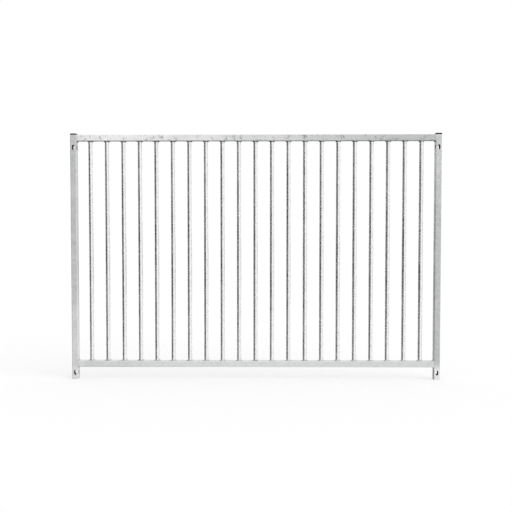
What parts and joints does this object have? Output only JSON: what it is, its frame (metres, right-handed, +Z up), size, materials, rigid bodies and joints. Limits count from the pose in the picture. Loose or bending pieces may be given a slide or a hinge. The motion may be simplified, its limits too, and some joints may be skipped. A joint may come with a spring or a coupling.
{
  "type": "crowd control barrier",
  "caption": "Welded galvanised steel barrier panel: square tube frame with upright round bars, slotted posts that run down as feet, and black plastic end caps.",
  "frame": {"origin": "on the floor, under the middle of the panel, midway between the posts and midway through the tubes", "axes": "+X along the panel from the left post to the right post, +Y from the front to the back through the tubes, +Z up along the posts"},
  "size_m": [1.5, 0.025, 1],
  "materials": {
    "galvanised_steel": "hot-dip galvanised, satin, with a faint spangle and zinc runs",
    "black_plastic": "moulded polyethylene, fine satin grain"
  },
  "bodies": {
    "root": {"left_post": "galvanised_steel", "right_post": "galvanised_steel", "top_rail": "galvanised_steel", "bottom_rail": "galvanised_steel", "bar_01": "galvanised_steel", "bar_02": "galvanised_steel", "bar_03": "galvanised_steel", "bar_04": "galvanised_steel", "bar_05": "galvanised_steel", "bar_06": "galvanised_steel", "bar_07": "galvanised_steel", "bar_08": "galvanised_steel", "bar_09": "galvanised_steel", "bar_10": "galvanised_steel", "bar_11": "galvanised_steel", "bar_12": "galvanised_steel", "bar_13": "galvanised_steel", "bar_14": "galvanised_steel", "bar_15": "galvanised_steel", "bar_16": "galvanised_steel", "bar_17": "galvanised_steel", "bar_18": "galvanised_steel", "bar_19": "galvanised_steel", "bar_20": "galvanised_steel", "bar_21": "galvanised_steel", "left_end_cap": "black_plastic", "right_end_cap": "black_plastic"}
  },
  "joints": []
}
